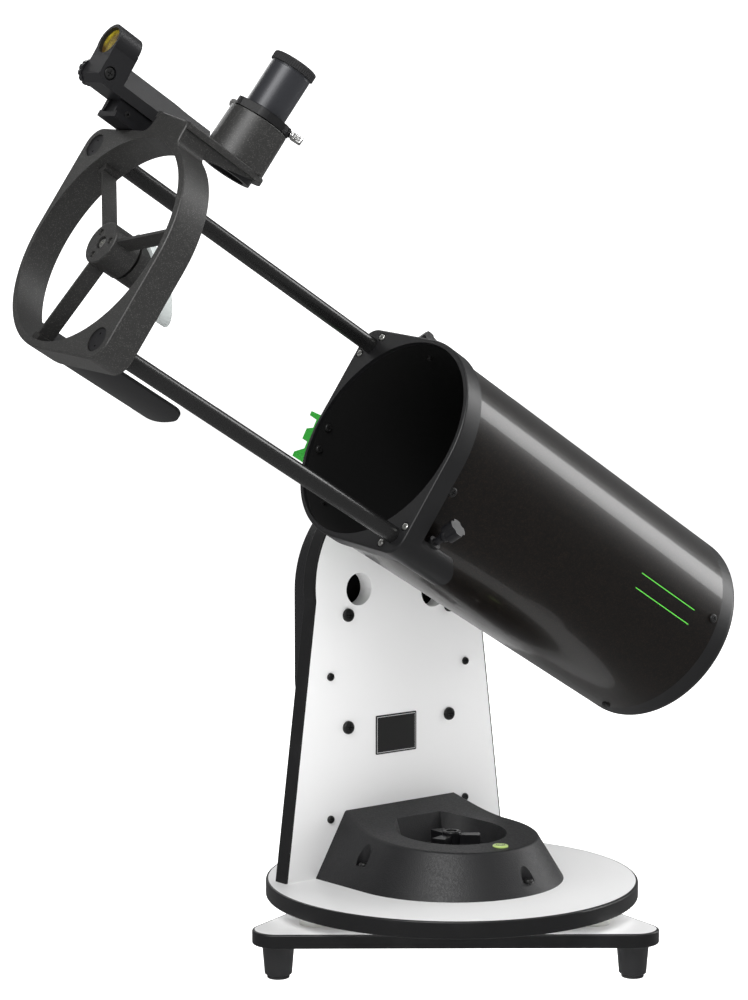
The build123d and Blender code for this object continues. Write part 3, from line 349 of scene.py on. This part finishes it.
def surface_mesh(name, points, close_u=False, close_v=False):
    """Mesh of a grid of points, rows along u and columns along v, each small square two corners on."""
    rows, columns = points.shape[:2]
    number = np.arange(rows * columns).reshape(rows, columns)
    if close_u:
        number = np.vstack([number, number[:1]])
    if close_v:
        number = np.hstack([number, number[:, :1]])
    squares = np.stack([number[:-1, :-1], number[1:, :-1], number[1:, 1:], number[:-1, 1:]], -1)
    squares = squares.reshape(-1, 4)
    mesh = bpy.data.meshes.new(name)
    mesh.from_pydata(points.reshape(-1, 3).tolist(), [], squares.tolist())
    shape = bmesh.new()
    shape.from_mesh(mesh)
    bmesh.ops.remove_doubles(shape, verts=shape.verts, dist=1e-7)     # closes the poles
    shape.to_mesh(mesh)
    shape.free()
    mesh.polygons.foreach_set("use_smooth", np.ones(len(mesh.polygons), bool))
    mesh.update()
    piece = bpy.data.objects.new(name, mesh)
    bpy.context.scene.collection.objects.link(piece)
    return piece


def on_tube(turn, along, out):
    """Points round the tube: an angle from its top towards the near side, a length and a radius."""
    turn, along, out = np.broadcast_arrays(turn, along, out)
    up, side, sky = (np.array(v) for v in (upward, sideways, outward))
    ring = np.cos(turn)[..., None] * up - np.sin(turn)[..., None] * side
    return np.array(tube_middle) + ring * out[..., None] + sky * along[..., None]


stripe_paint = Paint("green_vinyl", (0.10, 0.62, 0.05), 0.35)
stripe_cloud = stripe_paint.noise(0.002, 2.0)
stripe_paint.feed("Roughness", 0.30 + stripe_cloud * 0.1)
for stripe_name, stripe_turn in (("pinstripe_upper", 1.560), ("pinstripe_lower", 1.715)):
    across = np.linspace(-0.0045, 0.0045, 5)[:, None] + stripe_turn
    stripe_along = np.linspace(-0.1775, -0.1000, 40)[None, :]
    stripe = surface_mesh(stripe_name, on_tube(across, stripe_along, tube_radius + 0.0001))
    stripe.data.flip_normals()
    stripe_paint.put_on(stripe_name)
    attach(stripe, "tube")


# ---- Front ring and rear cell ------------------------------------------------------------
# Glass-filled nylon mouldings at the tube's two ends, satin black, with a fine even etch.

nylon = Paint("satin_black_nylon", (0.007, 0.007, 0.0075), 0.40, Specular_IOR_Level=0.4)
etch = nylon.noise(0.0005, 3.0)
drift = nylon.noise(0.02, 2.0)
nylon.feed("Roughness", 0.32 + etch * 0.10 + drift * 0.08)
nylon.bumps(etch, 0.00005, 0.5)
nylon.put_on("front_ring", "rear_cell", "light_shield", "eyepiece_clamp")


# ---- Main mirror and diagonal ------------------------------------------------------------
# Glass discs with an aluminised face. The diagonal's edge and back are ground, so they are pale and matt, and
# the faces are bright.

mirror = Paint("aluminised_glass", (0.90, 0.91, 0.92), 0.02, 1.0)
haze = mirror.noise(0.02, 3.0)
mirror.feed("Roughness", 0.015 + haze * 0.02)
mirror.put_on("primary_mirror")

look = Vector(joints["focus_slide"]["axis"])
face_normal = (look - outward).normalized()
focus_middle = Vector(joints["focus_turn"]["pos_m"])
diagonal_middle = focus_middle - look * ((focus_middle - tube_middle).dot(look))
diagonal = Paint("diagonal_glass", (0.90, 0.91, 0.92), 0.02, 1.0)
offset = diagonal.add("ShaderNodeVectorMath", {"operation": "SUBTRACT"}, diagonal.here, diagonal_middle)
depth = Shade(diagonal, diagonal.add("ShaderNodeVectorMath", {"operation": "DOT_PRODUCT"}, offset.outputs[0],
                                     face_normal).outputs["Value"])
ground = depth < -0.0002
grit = diagonal.noise(0.0006, 3.0)
diagonal.tint(ground, (0.60, 0.64, 0.63))
diagonal.feed("Metallic", 1 - ground)
diagonal.feed("Roughness", 0.02 + ground * (0.45 + grit * 0.2))
diagonal.put_on("diagonal_mirror")


# ---- Truss rods --------------------------------------------------------------------------
# Two drawn tubes, painted semi-gloss black, with faint draw lines along them.

rod_paint = Paint("semi_gloss_black", (0.010, 0.010, 0.010), 0.24, 0.1, Specular_IOR_Level=0.55)
draw_lines = rod_paint.noise(0.0008, 2.0, rod_paint.stretched((0.02, 1.0, 1.0), (0.0, level_turn, 0.0)))
wipe = rod_paint.noise(0.03, 3.0)
rod_paint.feed("Roughness", 0.20 + draw_lines * 0.05 + wipe * 0.06)
rod_paint.bumps(draw_lines, 0.000005, 0.2)
rod_paint.put_on("truss_rods")


# ---- Upper cage --------------------------------------------------------------------------
# Die-cast ring with the focuser's platform and barrel in one piece, and the spider cast in
# the same alloy. Its coating is grey-black with a fine silver speckle.

casting = Paint("speckled_casting_coat", (0.015, 0.015, 0.0148), 0.42, 0.1, Specular_IOR_Level=0.5)
speck_tone, speck_mid = casting.cells(0.00055)
speck = (speck_tone > 0.83) * (speck_mid < 0.42)
skin = casting.noise(0.0008, 3.0)
casting.tint(speck * 0.5 + skin * 0.10, (0.15, 0.146, 0.138))
casting.feed("Roughness", 0.34 + skin * 0.16)
casting.bumps(skin * 0.7 + speck * 0.3, 0.00011, 0.55)
casting.put_on("cage_ring", "spider", "diagonal_holder")


# ---- Focuser drawtube --------------------------------------------------------------------
# Black anodised tube with a coarse outer thread, which winds in and out of the cage's
# barrel. Only the thread near its top shows when it is wound out.

across_focus = outward                                  # one direction square to the focuser's axis
beside_focus = look.cross(outward)


def on_focuser(turn, height, out):
    """Points round the focuser's axis: an angle, a height from the tube's axis and a radius."""
    turn, height, out = np.broadcast_arrays(turn, height, out)
    a, b, c = (np.array(v) for v in (across_focus, beside_focus, look))
    ring = np.cos(turn)[..., None] * a + np.sin(turn)[..., None] * b
    return np.array(diagonal_middle) + ring * out[..., None] + c * height[..., None]


def turned(name, profile, facets=96, wave=None):
    """Piece turned about the focuser's axis: a closed profile of (radius, height), waved by angle."""
    profile = np.array(profile, float)
    turn = np.linspace(0, 2 * np.pi, facets, endpoint=False)[:, None]
    out = profile[None, :, 0] + np.zeros_like(turn)
    if wave is not None:
        out = out + wave(turn, profile[None, :, 1])
    piece = surface_mesh(name, on_focuser(turn, profile[None, :, 1], out), True, True)
    return piece


black_anodised = Paint("black_anodised", (0.016, 0.016, 0.017), 0.30, 0.55)
turning = black_anodised.noise(0.0007, 2.0)
black_anodised.feed("Roughness", 0.24 + turning * 0.14)
black_anodised.bumps(turning, 0.00003, 0.4)
black_anodised.put_on("focuser_drawtube")


# ---- Eyepiece ----------------------------------------------------------------------------
# Lathe-turned barrel with a chamfered shoulder and a fine groove under its cup, over a nose
# that slips into the clamp. It is closed inside by the field stop.

barrel_radius, barrel_top = 0.0173, 0.1932
nose_radius, nose_end = 0.01582, 0.1260
height_steps = np.linspace(0.1555, barrel_top - 0.0004, 110)
groove = 0.0005 * np.exp(-((height_steps - 0.1922) / 0.0004) ** 2)
barrel_profile = [(nose_radius - 0.0010, nose_end), (nose_radius, nose_end + 0.0008), (nose_radius, 0.1340),
                  (nose_radius - 0.0005, 0.1345), (nose_radius - 0.0005, 0.1375), (nose_radius, 0.1380),
                  (nose_radius, 0.1546), (barrel_radius - 0.0006, 0.1548)]
barrel_profile += list(zip(barrel_radius - groove, height_steps))
barrel_profile += [(barrel_radius - 0.0006, barrel_top), (0.0120, barrel_top), (0.0120, 0.1600),
                   (nose_radius - 0.0030, 0.1560), (nose_radius - 0.0012, 0.1450),
                   (nose_radius - 0.0012, nose_end)]
eyepiece_body = turned("eyepiece_barrel", barrel_profile, 160)
eyepiece_paint = Paint("eyepiece_lacquer", (0.026, 0.027, 0.031), 0.34, 0.25)
eyepiece_turning = eyepiece_paint.noise(0.0006, 2.0)
eyepiece_paint.feed("Roughness", 0.28 + eyepiece_turning * 0.12)
eyepiece_paint.put_on("eyepiece_barrel")
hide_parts("eyepiece")
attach(eyepiece_body, "eyepiece")

lens_glass = Paint("coated_eye_lens", (0.02, 0.045, 0.05), 0.03, 0.0, Coat_Weight=1.0, Coat_Roughness=0.02)
lens_tone = lens_glass.noise(0.004, 1.0)
lens_glass.tint(lens_tone, (0.03, 0.02, 0.06))
lens_glass.put_on("eye_lens")


# ---- Eyecup ------------------------------------------------------------------------------
# Rubber cup with a fluted grip round it and a dished mouth for the eye.

cup_radius, cup_low, cup_top = 0.0187, barrel_top, 0.2002


def cup_flutes(turn, height):
    """Flutes round the grip: a raised cosine of the angle to the 1.5, fading out at the rolled lip."""
    grip = np.clip((0.1987 - height) / 0.0008, 0, 1) * np.clip((height - 0.1938) / 0.0004, 0, 1)
    return -0.00050 * grip * (0.5 + 0.5 * np.cos(60 * turn)) ** 1.5


cup_rise = np.linspace(cup_low + 0.0006, cup_top - 0.0016, 24)
cup_profile = [(0.0172, cup_low)] + [(cup_radius, h) for h in cup_rise]
lip_angle = np.linspace(0, np.pi / 2, 8)[1:]
lip_round = 0.0014
lip_out = cup_radius - lip_round + lip_round * np.cos(lip_angle)
lip_up = cup_top - lip_round + lip_round * np.sin(lip_angle)
cup_profile += list(zip(lip_out, lip_up))
cup_profile += [(0.0138, cup_top), (0.0131, cup_top - 0.0006), (0.0100, 0.1962), (0.0096, cup_low + 0.0005)]
eyecup = turned("eyecup_rubber", cup_profile, 480, cup_flutes)
rubber.put_on("eyecup_rubber")
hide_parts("eyecup")
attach(eyecup, "eyepiece")


# ---- Thumbscrews -------------------------------------------------------------------------
# Two chromed screws with straight-knurled heads, which bear on the eyepiece's nose.

chrome = Paint("polished_chrome", (0.82, 0.82, 0.81), 0.06, 1.0)
breath = chrome.noise(0.002, 3.0)
chrome.feed("Roughness", 0.04 + breath * 0.08)


def knurled_head(turn, length):
    """Straight knurl on the head: a raised cosine of the angle, fading out at both bevels."""
    on_head = np.clip((length - 0.0282) / 0.0004, 0, 1) * np.clip((0.0357 - length) / 0.0004, 0, 1)
    return -0.00032 * on_head * (0.5 + 0.5 * np.cos(30 * turn))


def bolt_mesh(name, start, along, profile, wave, facets):
    """Piece turned about any axis: a closed profile of (radius, length), waved by angle."""
    first = along.orthogonal().normalized()
    a, b, c = (np.array(v) for v in (first, along.cross(first), along))
    turn = np.linspace(0, 2 * np.pi, facets, endpoint=False)[:, None]
    out, length = np.array(profile, float).T[:, None, :]
    out = out + wave(turn, length)
    ring = np.cos(turn)[..., None] * a + np.sin(turn)[..., None] * b
    return surface_mesh(name, np.array(start) + ring * out[..., None] + c * length[..., None], True)


head_steps = np.linspace(0.0278, 0.0361, 24)
thumb_profile = [(0.0, 0.0160), (0.0016, 0.0160), (0.0020, 0.0164), (0.0020, 0.0254), (0.0028, 0.0254),
                 (0.0028, 0.0272), (0.0024, 0.0274), (0.0032, 0.0275)]
thumb_profile += [(0.0036, length) for length in head_steps]
thumb_profile += [(0.0032, 0.0365), (0.0022, 0.0365), (0.0019, 0.0362), (0.0, 0.0362)]
for side in ("near", "far"):
    turning = next(joint for joint in joints.values() if joint["child"] == "thumbscrew_" + side)
    thumb_way = Vector(turning["axis"])
    thumb_low, thumb_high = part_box("thumbscrew_" + side)
    if thumb_way.dot((thumb_low + thumb_high) / 2 - focus_middle) < 0:
        thumb_way = -thumb_way
    seat = Vector(turning["pos_m"])
    thumb_start = seat - thumb_way * thumb_way.dot(seat - focus_middle)
    thumb = bolt_mesh("chrome_thumbscrew_" + side, thumb_start, thumb_way, thumb_profile, knurled_head, 150)
    chrome.put_on(thumb.name)
    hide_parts("thumbscrew_" + side)
    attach(thumb, "thumbscrew_" + side)


# ---- Finder ------------------------------------------------------------------------------
# Two-part moulding with a round hoop in front that holds an amber-coated reflector, with a yellow glint
# painted on it.

finder_plastic = Paint("finder_plastic", (0.008, 0.008, 0.009), 0.42, Specular_IOR_Level=0.4)
finder_grain = finder_plastic.noise(0.0005, 3.0)
finder_plastic.feed("Roughness", 0.34 + finder_grain * 0.16)
finder_plastic.bumps(finder_grain, 0.00006, 0.6)
finder_plastic.put_on("finder_body")

amber = Paint("amber_reflector", (0.09, 0.05, 0.008), 0.03, 0.0, Alpha=0.72, Coat_Weight=1.0,
              Coat_Roughness=0.02)
# Painted glint: where this noise rises, the base colour turns bright yellow, a painted reflection on the dark
# amber.
painted_glint_noise = amber.noise(0.013, 1.0)
amber.tint(((painted_glint_noise - 0.42) * 4).math("MAXIMUM", 0.0, clamp=True), (0.50, 0.40, 0.03))
amber.material.surface_render_method = "BLENDED"
amber.put_on("finder_lens")


# ---- Arm plate ---------------------------------------------------------------------------
# Thin black plate on the tube's side of the arm, blank but for a fine pale border.

arm_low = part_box("arm_board")[0]
plate_middle = Vector((arm_low.x + 0.1268, arm_low.y, 0.1905))
plate_half_w, plate_half_h, plate_thick, plate_corner = 0.0245, 0.0180, 0.0006, 0.0012
ring_turn = np.linspace(0, 2 * np.pi, 64, endpoint=False)
corner_x = np.sign(np.cos(ring_turn)) * (plate_half_w - plate_corner) + np.cos(ring_turn) * plate_corner
corner_z = np.sign(np.sin(ring_turn)) * (plate_half_h - plate_corner) + np.sin(ring_turn) * plate_corner
plate_rings = []
for grow, out in ((0.0, 0.00005), (0.0, plate_thick - 0.0002), (-0.0002, plate_thick), (-0.02, plate_thick)):
    shrink = 1 + grow / plate_half_h
    plate_rings.append(np.stack([plate_middle.x + corner_x * shrink, np.full(64, plate_middle.y - out),
                                 plate_middle.z + corner_z * shrink], -1))
plate_rings[-1][:] = (plate_middle.x, plate_middle.y - plate_thick, plate_middle.z)
plate = surface_mesh("arm_plate", np.stack(plate_rings), False, True)
plate.data.flip_normals()
plate.data.polygons.foreach_set("use_smooth", np.zeros(len(plate.data.polygons), bool))
plate_paint = Paint("plate_enamel", (0.010, 0.010, 0.010), 0.35)
place = plate_paint.add("ShaderNodeSeparateXYZ", {}, plate_paint.here)
edge_x = (plate_half_w - 0.0014) - (Shade(plate_paint, place.outputs[0]) - plate_middle.x).math("ABSOLUTE")
edge_z = (plate_half_h - 0.0014) - (Shade(plate_paint, place.outputs[2]) - plate_middle.z).math("ABSOLUTE")
edge = edge_x.math("MINIMUM", edge_z)
plate_paint.tint((edge > 0.0) * (edge < 0.0004), (0.75, 0.75, 0.75))
plate_paint.feed("Roughness", 0.30 + plate_paint.noise(0.004, 3.0) * 0.12)
plate_paint.put_on("arm_plate")
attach(plate, "turntable")


# ---- Studio ------------------------------------------------------------------------------
# White floor lit evenly by its own glow, a white surround that only the camera sees at full
# strength, and large soft lights.

floor_mesh = bpy.data.meshes.new("studio_floor")
reach = 12.0
floor_mesh.from_pydata([(-reach, -reach, 0), (reach, -reach, 0), (reach, reach, 0), (-reach, reach, 0)], [],
                       [(0, 1, 2, 3)])
floor = bpy.data.objects.new("studio_floor", floor_mesh)
bpy.context.scene.collection.objects.link(floor)
floor_paint = Paint("studio_white", (0.86, 0.86, 0.86), 0.9, Emission_Color=(1.0, 1.0, 1.0, 1.0),
                    Emission_Strength=1.0, Specular_IOR_Level=0.1)
floor_paint.put_on("studio_floor")
floor.visible_glossy = False

world = bpy.data.worlds.new("studio_world")
bpy.context.scene.world = world
world.use_nodes = True
world.node_tree.nodes["Background"].inputs[0].default_value = (1.0, 1.0, 1.0, 1.0)
seen = world.node_tree.nodes.new("ShaderNodeLightPath").outputs["Is Camera Ray"]
strength = world.node_tree.nodes.new("ShaderNodeMapRange")
strength.inputs["To Min"].default_value = 0.22
strength.inputs["To Max"].default_value = 1.6
world.node_tree.links.new(seen, strength.inputs["Value"])
world.node_tree.links.new(strength.outputs["Result"], world.node_tree.nodes["Background"].inputs[1])
bpy.context.scene.view_settings.view_transform = "Standard"

object_middle = (cad_low + cad_high) / 2
for light_name, place_at, power, width, height in (
        ("key_light", Vector((-1.6, -1.2, 2.2)), 72.0, 1.6, 1.6),
        ("rim_light", Vector((1.1, -0.9, 2.5)), 16.0, 0.35, 2.0),
        ("right_light", Vector((2.2, -0.6, 1.0)), 24.0, 0.7, 1.8),
        ("back_light", Vector((0.6, 2.2, 1.8)), 14.0, 1.6, 1.0)):
    lamp = bpy.data.lights.new(light_name, "AREA")
    lamp.energy = power
    lamp.shape = "RECTANGLE"
    lamp.size = width
    lamp.size_y = height
    lamp_object = bpy.data.objects.new(light_name, lamp)
    bpy.context.scene.collection.objects.link(lamp_object)
    lamp_object.location = place_at
    lamp_object.rotation_euler = (object_middle - place_at).to_track_quat("-Z", "Y").to_euler()


# ---- Camera ------------------------------------------------------------------------------
# Eye level with the tube, from the near side and ahead of it, through a long lens.

camera_turn, camera_dip = math.radians(40.03), math.radians(4.16)
camera_data = bpy.data.cameras.new("camera")
camera_data.lens = 85.87
camera_data.sensor_width = 36.0
camera_data.clip_end = 60.0
camera = bpy.data.objects.new("camera", camera_data)
bpy.context.scene.collection.objects.link(camera)
camera.location = (-1.3096, -1.5723, 0.5636)
camera.rotation_euler = (math.pi / 2 - camera_dip, 0.0, -camera_turn)
bpy.context.scene.camera = camera
